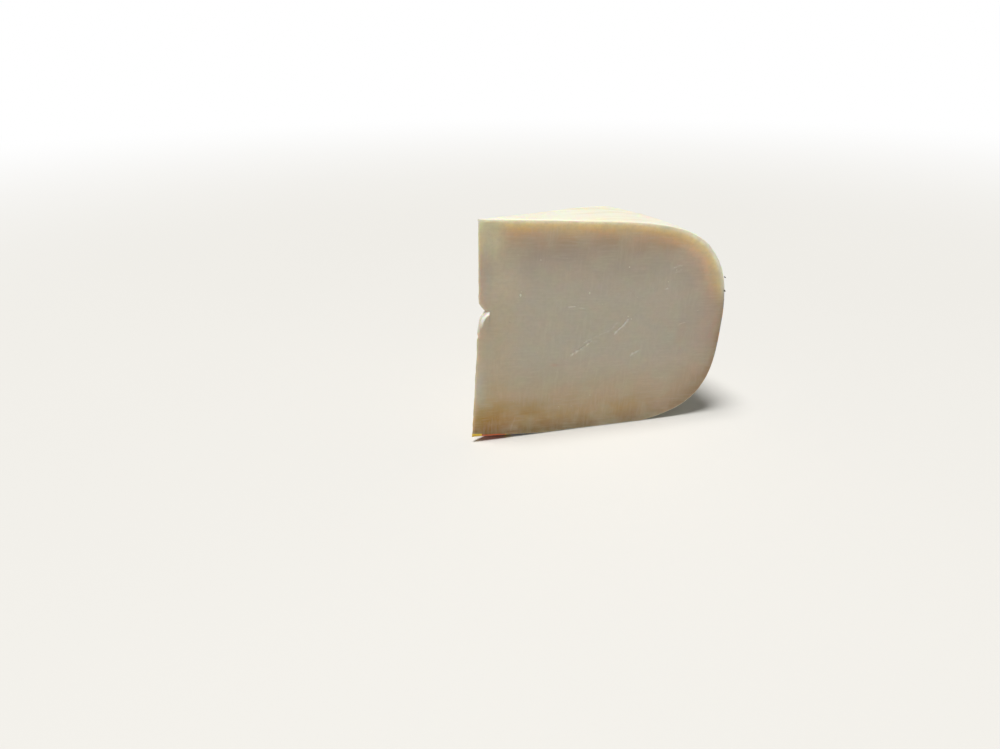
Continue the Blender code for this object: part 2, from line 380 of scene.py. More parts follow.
def scratch_relief(radius, height):
    """The grooves of the scratches with the burr along each, and a painted highlight along the burr
    side of each.
    """
    relief = np.zeros_like(radius)
    pale = np.zeros_like(radius)
    for start, end, depth, width, broken in SCRATCHES:
        place, aside, inside = along_mark(radius, height, start, end, 0.15 * MM)
        chatter = 1 - broken * (0.5 + 0.5 * np.sin(place / (0.31 * MM) + np.sin(place / MM)))
        groove = -depth * bell(aside, width)
        burr = 0.5 * depth * chatter * bell(aside + 1.4 * width, 0.7 * width)
        relief += inside * (groove * (0.4 + 0.6 * chatter) + burr)
        # Painted highlight along the burr side of the groove, where its wall would catch the light.
        pale += inside * chatter * bell(aside + 0.8 * width, width) * depth / (0.55 * MM)
    return relief, np.clip(pale, 0, 1)


def blush(radius, height):
    """The reddish marks on the near face, from 0 to 1."""
    shown = np.zeros_like(radius)
    for start, end, width, strength in BLUSHES:
        _place, aside, inside = along_mark(radius, height, start, end, 0.1 * MM)
        shown += strength * inside * bell(aside, width)
    return np.clip(shown, 0, 1)


def cut_relief(radius, height, side):
    """How far a cut face stands out from its plane. Side is -1 on the near face, 1 on the far."""
    turns_along = math.tau * BOW_WAVES_ALONG * radius / WHEEL_RADIUS
    turns_up = math.tau * BOW_WAVES_UP * height / HALF_HEIGHT
    bow = (CUT_BOW * np.sin(turns_along + BOW_SHIFT_ALONG * side)
           * np.cos(turns_up + BOW_SHIFT_UP * side) * np.minimum(1.0, radius / BOW_START))
    points = np.stack([radius, height], axis=1)
    uneven = UNEVENNESS * rough(points, (28 * MM, 20 * MM), 3.0 + side, 2)
    upright = UPRIGHT_DRAG * rough(points, (2.4 * MM, 38 * MM), 7.0 + side, 3)
    level = LEVEL_DRAG * rough(points, (30 * MM, 1.5 * MM), 17.0 + side, 2)
    from_tip = np.clip(radius - tip_start(height, side), 0, None)
    from_rind = distance_to_rind(points)
    shrunk = (FACE_INSET + RIND_SHRINKAGE * (1 - np.exp(-from_rind / RIND_SHRINKAGE_REACH))
              + TIP_SHRINKAGE * np.exp(-from_tip / TIP_SHRINKAGE_REACH))
    near = (1 - side) / 2
    lip_share = between(FAR_LIP_SHARE, 1, near)
    return (bow + uneven + upright + level - shrunk
            + near * scratch_relief(radius, height)[0]
            + lip_share * split_relief(radius, height, from_tip)[0])


def tip_safe_relief(radius, height, side):
    """A cut face's relief, held back where the two faces would meet in the narrow tip."""
    share = between(MOST_INSET_SHARE, MOST_INSET_SHARE_TOP, ease(height, 0, 40 * MM))
    most_inset = share * radius * math.sin(HALF_ANGLE)
    return np.maximum(cut_relief(radius, height, side), -most_inset)


# The rind.

def rind_bed(radius, height):
    """How deep the rind is sunk under the films, with a soft step beside each."""
    from_band = np.abs(height - BAND_MIDDLE) - BAND_WIDTH / 2
    band = (1 - ease(from_band, 0, BED_SLOPE)) * (radius > 0.6 * WHEEL_RADIUS)
    label = (1 - ease(radius - LABEL_RADIUS, 0, BED_SLOPE)) * (height < 0)
    return RIND_SUNK + FILM_BED * np.maximum(band, label)


def rind_folds(points):
    """Fine wrinkles in the coat: fanning out over the top, and round the wheel beside it."""
    radius = np.hypot(points[:, 0], points[:, 1])
    height = points[:, 2]
    angle = np.arctan2(points[:, 1], points[:, 0])
    fan = np.stack([radius, points[:, 1] * (0.55 + 0.45 * radius / WHEEL_RADIUS)], axis=1)
    warp = 1.3 * MM * rough(fan, (22 * MM, 14 * MM), 21.0, 2)
    fan[:, 1] += warp
    top = ease(height, 30 * MM, 44 * MM) * ease(radius, 22 * MM, 55 * MM)
    fanning = -np.abs(rough(fan, (46 * MM, 3.6 * MM), 11.0, 2))
    around = np.stack([angle * WHEEL_RADIUS, height - 0.2 * radius], axis=1)
    streaks = rough(around, (60 * MM, 1.9 * MM), 14.0, 2)
    shoulder = bell(np.abs(height) - 33 * MM, 11 * MM)
    return FOLD_DEPTH * top * (fanning + 0.25) + STREAK_DEPTH * shoulder * streaks


def rind_sink(radius, height, points, folds):
    """How deep the rind lies under the wheel's true surface: its beds, wrinkles and dents."""
    bed = rind_bed(radius, height)
    uncovered = 1 - np.clip((bed - RIND_SUNK) / FILM_BED, 0, 1)
    dents = DENT_DEPTH * rough(points, 26 * MM, 31.0, 2)
    relief = (folds + dents) * between(COVERED_RELIEF, 1, uncovered)
    return bed - np.minimum(relief - RIND_CLEARANCE, 0)


# Meshes.

def graded(length, step_at):
    """Shares of a length from 0 to 1, closer together where step_at says so."""
    places = [0.0]
    while places[-1] < length:
        places.append(places[-1] + step_at(places[-1]))
    return [place / places[-1] for place in places]


def close_at_ends(place, length, finest, widest, slope=0.28):
    from_end = max(0.0, min(place, length - place))
    return min(widest, finest + slope * from_end)


def new_object(name, data):
    made = bpy.data.objects.new(name, data)
    bpy.context.scene.collection.objects.link(made)
    return made


def new_piece(name, bm, finish, smooth=True):
    mesh = bpy.data.meshes.new(name)
    bm.to_mesh(mesh)
    bm.free()
    mesh.materials.append(finish)
    if smooth:
        mesh.shade_smooth()
    return new_object(name, mesh)


def split_along(bm, axis, cuts):
    """Cut every edge that runs along an axis."""
    chosen = []
    for edge in bm.edges:
        run = edge.verts[1].co - edge.verts[0].co
        if abs(run[axis]) > 0.9 * run.length:
            chosen.append(edge)
    bmesh.ops.subdivide_edges(bm, edges=chosen, cuts=cuts, use_grid_fill=True)


def graded_block():
    """A block whose sides are grids: X from tip to rind, Y from near to far, Z from base to top."""
    across_length = line_length(TOP_LINE)
    up_length = line_length(SIDE_LINE)

    def across_step(place):
        from_rind = across_length - place
        return min(WIDEST_STEP_ACROSS, 0.28 * MM + 0.07 * place,
                   0.30 * MM + 0.28 * max(0.0, from_rind))

    def round_step(place):
        return close_at_ends(place, GRID_WIDTH, FINEST_STEP, WIDEST_STEP_ROUND)

    def up_step(place):
        height = -HALF_HEIGHT + WHEEL_HEIGHT * place / up_length
        step = close_at_ends(place, up_length, FINEST_STEP, WIDEST_STEP_UP)
        from_split = max(0.0, abs(height - SPLIT_HEIGHT) - 1.5 * MM)
        return min(step, SPLIT_STEP + 0.06 * from_split)

    shares = [graded(across_length, across_step), graded(GRID_WIDTH, round_step),
              graded(up_length, up_step)]
    bm = bmesh.new()
    bmesh.ops.create_cube(bm, size=1.0)
    for axis in range(3):
        split_along(bm, axis, len(shares[axis]) - 2)
    for vertex in bm.verts:
        for axis in range(3):
            count = len(shares[axis]) - 1
            vertex.co[axis] = shares[axis][round((vertex.co[axis] + 0.5) * count)]
    refine_near_scratches(bm)
    return bm


def box_points(bm):
    bm.verts.ensure_lookup_table()
    return np.array([vertex.co[:] for vertex in bm.verts])


def refine_near_scratches(bm):
    """Halve the grid twice beside the scratches on the near face."""
    for _ in range(2):
        block = box_points(bm)
        bm.verts.index_update()
        section = section_point(block[:, 0], block[:, 2])
        close = np.zeros(len(block), bool)
        for start, end, *_form in SCRATCHES:
            run = np.array(end) - np.array(start)
            share = np.clip((section - start) @ run / (run @ run), 0, 1)
            gaps = np.linalg.norm(section - (start + share[:, None] * run), axis=1)
            close |= gaps < SCRATCH_MARGIN
        close &= block[:, 1] < TINY
        chosen = [edge for edge in bm.edges if all(close[v.index] for v in edge.verts)]
        bmesh.ops.subdivide_edges(bm, edges=chosen, cuts=1, use_grid_fill=True)


def edge_radius(radius, moved, height, side):
    """How round the edge between the rind and a cut is."""
    labelled = between(LABEL_EDGE_ROUNDING, LABEL_RIM_ROUNDING, ease(radius, 16 * MM, 34 * MM))
    rounding = np.where(height < BASE_EDGE_TOP, labelled, EDGE_ROUNDING)
    most_share = np.where(side < 0, NEAR_ROUNDING_SHARE, FAR_ROUNDING_SHARE)
    return np.minimum(rounding, most_share * moved * math.sin(2 * HALF_ANGLE))


def round_off(depth, to_cut, rounding, on_skin):
    """How far rounding an edge moves each point in from the rind and away from the cut."""
    on_edge = (depth < rounding) & (to_cut < rounding) & on_skin
    gap_in = rounding - depth
    gap_side = rounding - to_cut
    left_over = np.where(on_edge, 1 - rounding / np.hypot(gap_in, gap_side), 0)
    return gap_in * left_over, gap_side * left_over


def cheese_facts(place, start, depth, folds, on_rind, near_face):
    """What the finish reads at each point of the cheese."""
    radius, height = place[:, 0], place[:, 2]
    from_tip = np.clip(radius - start, 0, None)
    below_nick = ease(height, -2 * MM, 3 * MM) * (1 - ease(height, 9.5 * MM, 10.2 * MM))
    at_top = ease(height, 44 * MM, 49 * MM)
    # Painted highlight along the tip's edge, most below the nick and at the top corner.
    tip_edge_highlight = (0.15 + 0.55 * below_nick + 0.5 * at_top) * bell(from_tip, TIP_EDGE_HIGHLIGHT_WIDTH)
    # Painted highlights of the scratches and of the lip's slope.
    marks_highlight = scratch_relief(radius, height)[1] + split_relief(radius, height, from_tip)[1]
    # The rind's colour reaches a little further down the cut towards the top; at the tip's top
    # corner it reaches further still, as a painted highlight.
    coat_reach = (0.25 + 0.45 * ease(height, 10 * MM, 34 * MM)
                  + 0.6 * bell(from_tip, 0.5 * MM) * at_top) * MM
    return {
        "depth": depth / MM,
        "coat": np.where(on_rind, 1.0, bell(depth, coat_reach)),
        "fold": folds / (0.1 * MM) * on_rind,
        "pale": np.where(near_face, np.maximum(marks_highlight, tip_edge_highlight), tip_edge_highlight),
        "blush": np.where(near_face, blush(radius, height), 0.0),
        "place": place,
    }


def shape_cheese(block):
    """Turn block places into wheel places. Returns the places and what the finish reads."""
    across, side_share, up = block.T
    side = 2 * side_share - 1
    angle = side * HALF_ANGLE
    on_rind = (across > 1 - TINY) | (up < TINY) | (up > 1 - TINY)
    on_cut = (side_share < TINY) | (side_share > 1 - TINY)
    section = section_point(across, up)
    radius, height = section.T
    depth = np.where(on_rind, 0.0, distance_to_rind(section))

    start = tip_start(height, side)
    moved = radius + start * fade_out(radius, TIP_REACH)
    flat = np.stack([moved * np.cos(angle), moved * np.sin(angle), height], axis=1)
    folds = rind_folds(flat)

    to_cut = np.where(on_cut, 0.0, moved * np.sin(HALF_ANGLE * (1 - np.abs(side))))
    rounding = edge_radius(radius, moved, height, side)
    round_in, round_away = round_off(depth, to_cut, rounding, on_rind | on_cut)
    inward = round_in + rind_sink(radius, height, flat, folds) * fade_out(depth, RIND_BACKING)
    direction = rind_direction(radius, height)
    radius_now = moved - direction[:, 0] * inward
    height_now = height - direction[:, 1] * inward

    face_side = np.where(side < 0, -1.0, 1.0)
    beside_cut = np.abs(side) * (1 - ease(to_cut, 0, CUT_BACKING))
    out = beside_cut * tip_safe_relief(moved, height, face_side) - round_away
    blunt = TIP_BLUNT_SHARE * start * (1 - side ** 2) * fade_out(radius, TIP_END_REACH)
    curl = (TIP_CURL * np.exp((height - HALF_HEIGHT) / TIP_CURL_FALL)
            * fade_out(moved, TIP_END_REACH))
    places = np.stack([
        radius_now * np.cos(angle) - blunt - curl - out * math.sin(HALF_ANGLE),
        radius_now * np.sin(angle) + out * face_side * math.cos(HALF_ANGLE),
        height_now], axis=1)
    place = np.stack([moved, angle * WHEEL_RADIUS, height], axis=1)
    return places, cheese_facts(place, start, depth, folds, on_rind, on_cut & (side < 0))


def stand(places):
    """Lean places as the wedge leans, and settle the base flat on the ground."""
    stance = np.array(STANCE)
    radius = np.hypot(places[:, 0], places[:, 1])
    floor = base_height(radius)
    skin = np.stack([places[:, 0], places[:, 1], floor], axis=1)
    rise = np.clip(-(skin @ stance[2, :3] + stance[2, 3]), 0, None)
    fade = np.clip(1 - (places[:, 2] - floor) / SETTLING_DEPTH, 0, 1)
    stood = places @ stance[:3, :3].T + stance[:3, 3]
    stood[:, 2] += rise * fade
    return stood


def places_of(mesh):
    places = np.empty(len(mesh.vertices) * 3)
    mesh.vertices.foreach_get("co", places)
    return places.reshape(-1, 3)


def move_mesh(mesh, places):
    mesh.vertices.foreach_set("co", places.ravel())
    mesh.update()


def write_facts(mesh, facts):
    for name, values in facts.items():
        kind, field = ("FLOAT_VECTOR", "vector") if values.ndim == 2 else ("FLOAT", "value")
        layer = mesh.attributes.new(name, kind, "POINT")
        layer.data.foreach_set(field, values.ravel())


def film_from(body, name, covered, finish, trim=()):
    """A printed film that hugs the cheese where it is covered, cut off level where trim says."""
    bm = bmesh.new()
    bm.from_mesh(body)
    bare = [face for face in bm.faces if not all(covered[v.index] for v in face.verts)]
    bmesh.ops.delete(bm, geom=bare, context="FACES")
    for height, direction in trim:
        geometry = bm.verts[:] + bm.edges[:] + bm.faces[:]
        bmesh.ops.bisect_plane(bm, geom=geometry, plane_co=(0, 0, height),
                               plane_no=(0, 0, direction), clear_outer=True)
    bm.normal_update()
    out = bm.verts.layers.float_vector.new("out")
    for vertex in bm.verts:
        vertex[out] = vertex.normal
        vertex.co += FILM_LIFT * vertex.normal
    backed = bmesh.ops.extrude_face_region(bm, geom=bm.faces[:], use_keep_orig=True)["geom"]
    for vertex in (part for part in backed if isinstance(part, bmesh.types.BMVert)):
        vertex.co -= FILM_THICKNESS * vertex[out]
    bm.verts.layers.float_vector.remove(out)
    bmesh.ops.recalc_face_normals(bm, faces=bm.faces[:])
    return new_piece(name, bm, finish)


# Finishes.

class Value:
    """A number that changes over a surface."""

    def __init__(self, finish, socket):
        self.finish = finish
        self.socket = socket

    def __add__(self, other):
        return self.finish.math("ADD", self, other)

    def __sub__(self, other):
        return self.finish.math("SUBTRACT", self, other)

    def __mul__(self, other):
        return self.finish.math("MULTIPLY", self, other)

    def __truediv__(self, other):
        return self.finish.math("DIVIDE", self, other)

    def __radd__(self, other):
        return self.finish.math("ADD", other, self)

    def __rsub__(self, other):
        return self.finish.math("SUBTRACT", other, self)

    def __rmul__(self, other):
        return self.finish.math("MULTIPLY", other, self)

    def __abs__(self):
        return self.finish.math("ABSOLUTE", self)


class Finish:
    """One material, built up from expressions."""

    def __init__(self, name, constants):
        self.material = bpy.data.materials.new(name)
        self.material.use_nodes = True
        self.tree = self.material.node_tree
        self.shader = self.tree.nodes["Principled BSDF"]
        for socket, value in constants.items():
            self.shader.inputs[socket].default_value = value

    def node(self, kind, settings, values):
        """Any node: its type, its settings, then the values or links of its sockets."""
        made = self.tree.nodes.new("ShaderNode" + kind)
        for name, setting in settings.items():
            if name == "stops":
                self.set_stops(made.color_ramp, setting)
            else:
                setattr(made, name, setting)
        for key, value in values.items():
            self.feed(self.socket_of(made, key), value)
        return made

    @staticmethod
    def socket_of(made, key):
        if isinstance(key, int):
            return made.inputs[key]
        return next(s for s in made.inputs if s.identifier == key or s.name == key)

    @staticmethod
    def set_stops(ramp, stops):
        while len(ramp.elements) < len(stops):
            ramp.elements.new(1.0)
        for element, (place, colour) in zip(ramp.elements, stops):
            element.position = place
            element.color = (*colour, 1.0)

    def feed(self, socket, value):
        if isinstance(value, Value):
            value = value.socket
        if isinstance(value, bpy.types.NodeSocket):
            self.tree.links.new(value, socket)
        elif isinstance(value, tuple) and socket.type == "RGBA":
            socket.default_value = (*value, 1.0)
        else:
            socket.default_value = value

    def math(self, operation, *values):
        made = self.node("Math", {"operation": operation}, dict(enumerate(values)))
        return Value(self, made.outputs[0])

    def attribute(self, name):
        return Value(self, self.node("Attribute", {"attribute_name": name}, {}).outputs["Fac"])

    def vector_attribute(self, name):
        return self.node("Attribute", {"attribute_name": name}, {}).outputs["Vector"]

    def own_place(self):
        return self.node("TexCoord", {}, {}).outputs["Object"]

    def parts(self, vector):
        made = self.node("SeparateXYZ", {}, {0: vector})
        return [Value(self, socket) for socket in made.outputs]

    def stretched(self, vector, scale):
        return self.node("VectorMath", {"operation": "MULTIPLY"}, {0: vector, 1: scale}).outputs[0]

    def noise(self, vector, scale, detail=2.0, roughness=0.5):
        """Cloudy values from 0 to 1. Scale is the size of a cloud, all over or along each axis."""
        sizes = scale if isinstance(scale, tuple) else (scale,) * 3
        per_metre = tuple(1 / size for size in sizes)
        made = self.node("TexNoise", {}, {"Vector": self.stretched(vector, per_metre),
                                          "Scale": 1.0, "Detail": detail,
                                          "Roughness": roughness})
        return Value(self, made.outputs[0])

    def step(self, value, low, high):
        """0 at low and 1 at high, with a smooth slope between. Low may be the higher one."""
        made = self.node("MapRange", {"interpolation_type": "SMOOTHSTEP"},
                         {"Value": value, "From Min": low, "From Max": high})
        return Value(self, made.outputs[0])

    def patches(self, vector, scale, low, high, detail=3.0, roughness=0.5):
        """Cloudy patches, 0 where the noise is at low and 1 where it is at high."""
        return self.step(self.noise(vector, scale, detail, roughness), low, high)

    def ramp(self, value, stops):
        return self.node("ValToRGB", {"stops": stops}, {0: value}).outputs[0]

    def mix(self, share, first, second, how="MIX"):
        made = self.node("Mix", {"data_type": "RGBA", "blend_type": how},
                         {"Factor_Float": share, "A_Color": first, "B_Color": second})
        return next(s for s in made.outputs if s.identifier == "Result_Color")

    def layered(self, colour, layers):
        """A colour under layers of others, each a mask and its own colour."""
        for mask, layer in layers:
            colour = self.mix(mask, colour, layer)
        return colour

    def bump(self, height, distance, strength=1.0):
        return self.node("Bump", {}, {"Height": height, "Distance": distance,
                                      "Strength": strength}).outputs[0]

    def finished(self, **sockets):
        names = {"colour": "Base Color", "roughness": "Roughness", "normal": "Normal",
                 "coat": "Coat Weight"}
        for name, value in sockets.items():
            self.feed(self.shader.inputs[names[name]], value)
        return self.material


# Tones of the paste: in the middle, and by depth in millimetres under the top, under the side
# and over the base, as shares of the middle's tone. Under the top they carry a painted highlight
# on the rounded edge and a painted glow of the light from above, over the paste's own yellowing;
# over the base, the yellowing is darkened further by painted shade.
PASTE = (0.575, 0.522, 0.420)
PASTE_REACH = 40.0
DRAGGED_PASTE = (0.80, 0.76, 0.62)
UNDER_TOP_WITH_PAINTED_LIGHT = [(0.0, (1.60, 1.70, 1.75)), (1.0, (1.66, 1.74, 1.68)), (2.2, (1.58, 1.43, 0.87)),
             (4.0, (1.38, 1.06, 0.61)), (6.2, (1.16, 0.86, 0.63)), (9.0, (0.91, 0.73, 0.61)),
             (13.0, (0.86, 0.76, 0.73)), (20.0, (0.90, 0.86, 0.86)), (27.0, (0.98, 0.95, 0.95)),
             (36.0, (1.04, 1.03, 1.05))]
UNDER_SIDE = [(0.0, (0.70, 0.50, 0.38)), (1.3, (0.76, 0.57, 0.45)), (2.6, (0.84, 0.67, 0.56)),
              (5.2, (0.88, 0.75, 0.73)), (9.0, (0.96, 0.84, 0.84)), (15.6, (0.95, 0.91, 0.91)),
              (28.0, (0.96, 0.95, 0.97)), (38.0, (1.00, 1.00, 1.00))]
OVER_BASE_WITH_PAINTED_SHADE = [(0.0, (0.50, 0.40, 0.24)), (2.4, (0.54, 0.41, 0.23)), (4.0, (0.71, 0.52, 0.31)),
             (8.7, (0.90, 0.68, 0.41)), (14.4, (0.93, 0.76, 0.54)), (20.0, (1.00, 0.87, 0.73)),
             (27.0, (0.99, 0.92, 0.83)), (36.0, (1.01, 0.95, 0.89))]


def paste_tones(finish, depth, shares):
    """The paste's tone by depth, from shares of the middle's tone."""
    stops = []
    for reach, share in shares:
        stops.append((reach / PASTE_REACH, tuple(p * s for p, s in zip(PASTE, share))))
    return finish.ramp(depth / PASTE_REACH, stops)


def tinted(finish, colour, tints):
    """A colour under a row of tints, each a mask and what the colour is multiplied by there."""
    for mask, tint in tints:
        colour = finish.mix(mask, colour, tint, "MULTIPLY")
    return colour


def paste_by_depth(finish, radius, height, depth, shifted):
    """Deeper in colour under the rind, with painted light at top and base, own tones at shoulder and
    tip.
    """
    step = finish.step
    top, base = step(height, 0.008, 0.026), step(height, -0.008, -0.028)
    outer = step(radius, 0.074, 0.098)
    spread = shifted * (1 + outer * (step(shifted, 5.0, 16.0) * 0.5 - 0.15))
    # Under the top, the tones hold a painted highlight on the edge and a painted glow of the top
    # light.
    colour = finish.mix(top, paste_tones(finish, shifted, UNDER_SIDE),
                        paste_tones(finish, spread, UNDER_TOP_WITH_PAINTED_LIGHT))
    shoulder = outer * top * step(shifted, 4.0, 8.0) * step(shifted, 18.0, 11.0)
    corner = (step(radius, 0.088, 0.104) * step(height, 0.025, 0.032) * step(depth, 14.0, 8.0))
    colour = tinted(finish, colour, [(shoulder, (1.17, 1.12, 1.10)),
                                     (corner, (1.12, 1.14, 1.22))])
    # Over the base, the tones darken towards the edge: partly the paste's own yellowing, partly
    # painted shade.
    colour = finish.mix(base * (1 - outer * 0.5), colour,
                        paste_tones(finish, shifted, OVER_BASE_WITH_PAINTED_SHADE))
    green_tip = (step(radius, 0.016, 0.005) * step(depth, 0.8, 2.0)
                 * step(height, 0.026, 0.042) * 0.85)
    colour = finish.mix(green_tip, colour, (0.68, 0.68, 0.47))
    left = step(radius, 0.026, 0.012)
    beside_tip = left * top * step(radius, 0.004, 0.009) * step(depth, 3.0, 9.0)
    # Low on the cut towards the tip, these two tints darken and warm the paste: partly its own
    # deeper colour, partly painted warm shade.
    stain_and_shade = base * step(radius, 0.048, 0.022) * step(shifted, 22.0, 6.0)
    strip = base * step(radius, 0.030, 0.019) * step(depth, 7.2, 4.2)
    foot = base * step(radius, 0.009, 0.003)
    return tinted(finish, colour, [
        (left * (1 - top), (1.04, 0.99, 0.89)), (beside_tip, (1.17, 1.16, 1.09)),
        (stain_and_shade, (0.86, 0.74, 0.36)), (strip, (0.93, 0.84, 0.52)),
        (foot, (1.02, 1.24, 1.60))])


def paste_colour(finish, place, depth):
    """Cut paste: its tone by depth, then cloudy patches, the wire's streaks, painted highlights and
    the reddish marks.
    """
    radius, _around, height = finish.parts(place)
    drift = finish.noise(place, (0.016, 0.016, 0.010), 3.0) - 0.5
    shifted = depth + drift * 4.0 * finish.step(depth, 1.5, 7.0)
    colour = paste_by_depth(finish, radius, height, depth, shifted)
    warm = finish.patches(place, (0.014, 0.014, 0.010), 0.42, 0.66)
    green = finish.patches(finish.stretched(place, (1, 1, -1)), 0.010, 0.46, 0.68, 2.0)
    patchy = finish.patches(place, (0.009, 0.009, 0.012), 0.38, 0.66, 2.0)
    upright = finish.patches(place, (0.0012, 0.0012, 0.011), 0.40, 0.66, 4.0, 0.65)
    level = finish.patches(place, (0.010, 0.010, 0.0009), 0.42, 0.68, 4.0, 0.65)
    mottle = finish.patches(place, (0.0022, 0.0022, 0.0018), 0.40, 0.64, 4.0, 0.7)
    # Painted highlights on the scratches, the lip's slope and the tip's edge.
    pale = finish.math("MINIMUM", finish.attribute("pale"), 1.0)
    return finish.layered(colour, [
        (warm * 0.22, (0.70, 0.53, 0.41)), (green * 0.24, (0.58, 0.59, 0.42)),
        (upright * patchy * 0.13, DRAGGED_PASTE), (level * (1 - patchy) * 0.14, DRAGGED_PASTE),
        (mottle * 0.15, (0.44, 0.39, 0.29)), (pale * 0.9, (0.97, 0.96, 0.90)),
        (finish.attribute("blush") * 0.5, (0.62, 0.34, 0.25))])


def rind_colour(finish, place, fold):
    """Coated rind: near-white ivory, with painted shade in its wrinkles."""
    clouds = finish.patches(place, 0.03, 0.35, 0.7)
    around = finish.patches(place, (0.05, 0.05, 0.0012), 0.5, 0.75)
    # Painted shade in the wrinkles' valleys.
    valley_shade = finish.step(fold, 0.2, -1.2)
    return finish.layered((0.95, 0.92, 0.77), [
        (clouds, (0.93, 0.89, 0.71)), (around * 0.25, (0.82, 0.77, 0.62)),
        (valley_shade * 0.35, (0.80, 0.68, 0.42))])


def cheese_finish():
    finish = Finish("goat_gouda", {
        "Subsurface Weight": 0.7, "Subsurface Radius": (1.0, 0.55, 0.25),
        "Subsurface Scale": 0.0028, "IOR": 1.44, "Coat Roughness": 0.27, "Coat IOR": 1.4})
    place = finish.vector_attribute("place")
    depth = finish.attribute("depth")
    coat = finish.attribute("coat")
    fold = finish.attribute("fold")
    colour = finish.mix(coat, paste_colour(finish, place, depth),
                        rind_colour(finish, place, fold))
    grain = finish.noise(place, 0.00045, 3.0, 0.6)
    upright = finish.noise(place, (0.0012, 0.0012, 0.013), 3.0, 0.6)
    pores = finish.patches(place, 0.0016, 0.27, 0.2, 1.0)
    paste_height = grain * 0.06 + upright * 0.03 - pores * 0.12
    rind_height = finish.noise(place, (0.0022, 0.0022, 0.0014), 3.0, 0.55) * 0.05
    height = paste_height * (1 - coat) + rind_height * coat
    roughness = 0.48 + (grain - 0.5) * 0.16 - coat * 0.06
    return finish.finished(colour=colour, roughness=roughness, coat=coat * 0.28,
                           normal=finish.bump(height, MM, 0.6))


# Inks.
LAVENDER = (0.275, 0.285, 0.375)
EDGE_BLUE = (0.34, 0.37, 0.43)
NAVY = (0.045, 0.065, 0.12)
AMBER = (0.72, 0.30, 0.022)
RUST = (0.52, 0.10, 0.02)
PALE = (0.52, 0.52, 0.56)
YELLOW = (0.70, 0.45, 0.03)
RED = (0.55, 0.12, 0.035)
SKY = (0.40, 0.48, 0.60)

# The band's print: half widths from its middle line, the pitch of its lozenges, and the half
# widths of its border lines and pinstripes.
BAND_FIELD = 0.0098
BAND_BORDER = 0.0124
BAND_EDGE = 0.0128
LOZENGE_PITCH = 0.0124
BORDER_LINE = 0.00042
PINSTRIPE_LINE = 0.00024
BAND_BLUR = 0.00010

# The label's print: where each ring starts, from the middle out, and its ink.
LABEL_RINGS = [(0.0067, RED), (0.0178, YELLOW), (0.0208, PALE), (0.0214, SKY),
               (0.0324, PALE), (0.0332, LAVENDER), (0.0500, PALE), (0.0508, SKY)]
RING_LINE_PITCH = 0.0023
RING_LINE = 0.0002
LABEL_LOZENGES = 0.0416
LABEL_BLUR = 0.00012


def lozenge(across, up, width, height):
    """1 at the middle of a lozenge, 0 on its outline and less outside."""
    return 1 - abs(across) * (2 / width) - abs(up) * (2 / height)


def repeated(finish, value, pitch, shift=0.0):
    """A place along a repeat, from -pitch/2 to pitch/2."""
    return finish.math("WRAP", value - shift, pitch / 2, -pitch / 2)


def edge_at(finish, value, place, blur):
    """0 below a place and 1 above it, with the print's small blur."""
    return finish.step(value, place - blur, place + blur)


def line_at(finish, away, half_width, blur):
    """1 on a line and 0 beside it, by the distance from its middle."""
    return finish.step(abs(away), half_width + blur, half_width - blur)


def band_finish():
    """Lavender print with pinstripes, navy borders and a lattice of amber lozenges."""
    finish = Finish("band_print", {"IOR": 1.46, "Coat Roughness": 0.25,
                                   "Subsurface Weight": 0.0})
    place = finish.vector_attribute("place")
    _radius, around, height = finish.parts(place)
    up = height - BAND_MIDDLE
    from_middle = abs(up)
    ground = finish.mix(finish.noise(place, (0.02, 0.006, 0.02), 3.0), LAVENDER,
                        (0.33, 0.33, 0.41))
    mottled = finish.mix(finish.patches(place, (0.01, 0.007, 0.01), 0.4, 0.65),
                         EDGE_BLUE, (0.42, 0.43, 0.45))
    pinstripe = line_at(finish, repeated(finish, around, LOZENGE_PITCH / 6, LOZENGE_PITCH / 12),
                        PINSTRIPE_LINE, BAND_BLUR)
    field = 1 - edge_at(finish, from_middle, BAND_FIELD, BAND_BLUR)
    border = line_at(finish, from_middle - BAND_BORDER, BORDER_LINE, BAND_BLUR)
    layers = [(edge_at(finish, from_middle, BAND_EDGE, BAND_BLUR), mottled),
              (pinstripe * field * 0.85, NAVY), (border, NAVY)]
    large = lozenge(repeated(finish, around, LOZENGE_PITCH), up, 0.0066, 0.0100)
    small = lozenge(repeated(finish, around, LOZENGE_PITCH, LOZENGE_PITCH / 2),
                    from_middle - 0.0060, 0.0042, 0.0056)
    for shape, rim in ((large, 0.16), (small, 0.22)):
        layers += [(finish.step(shape, -0.30, -0.26) * field, LAVENDER),
                   (edge_at(finish, shape, 0.0, 0.02), RUST),
                   (edge_at(finish, shape, rim, 0.02), AMBER)]
    worn = finish.patches(place, 0.003, 0.62, 0.72, 4.0, 0.65)
    layers.append((worn * 0.18, (0.62, 0.60, 0.58)))
    ripple = finish.noise(place, (0.004, 0.02, 0.002), 3.0)
    return finish.finished(colour=finish.layered(ground, layers),
                           roughness=0.36 + (ripple - 0.5) * 0.2, coat=0.3,
                           normal=finish.bump(ripple, MM * 0.12, 0.6))


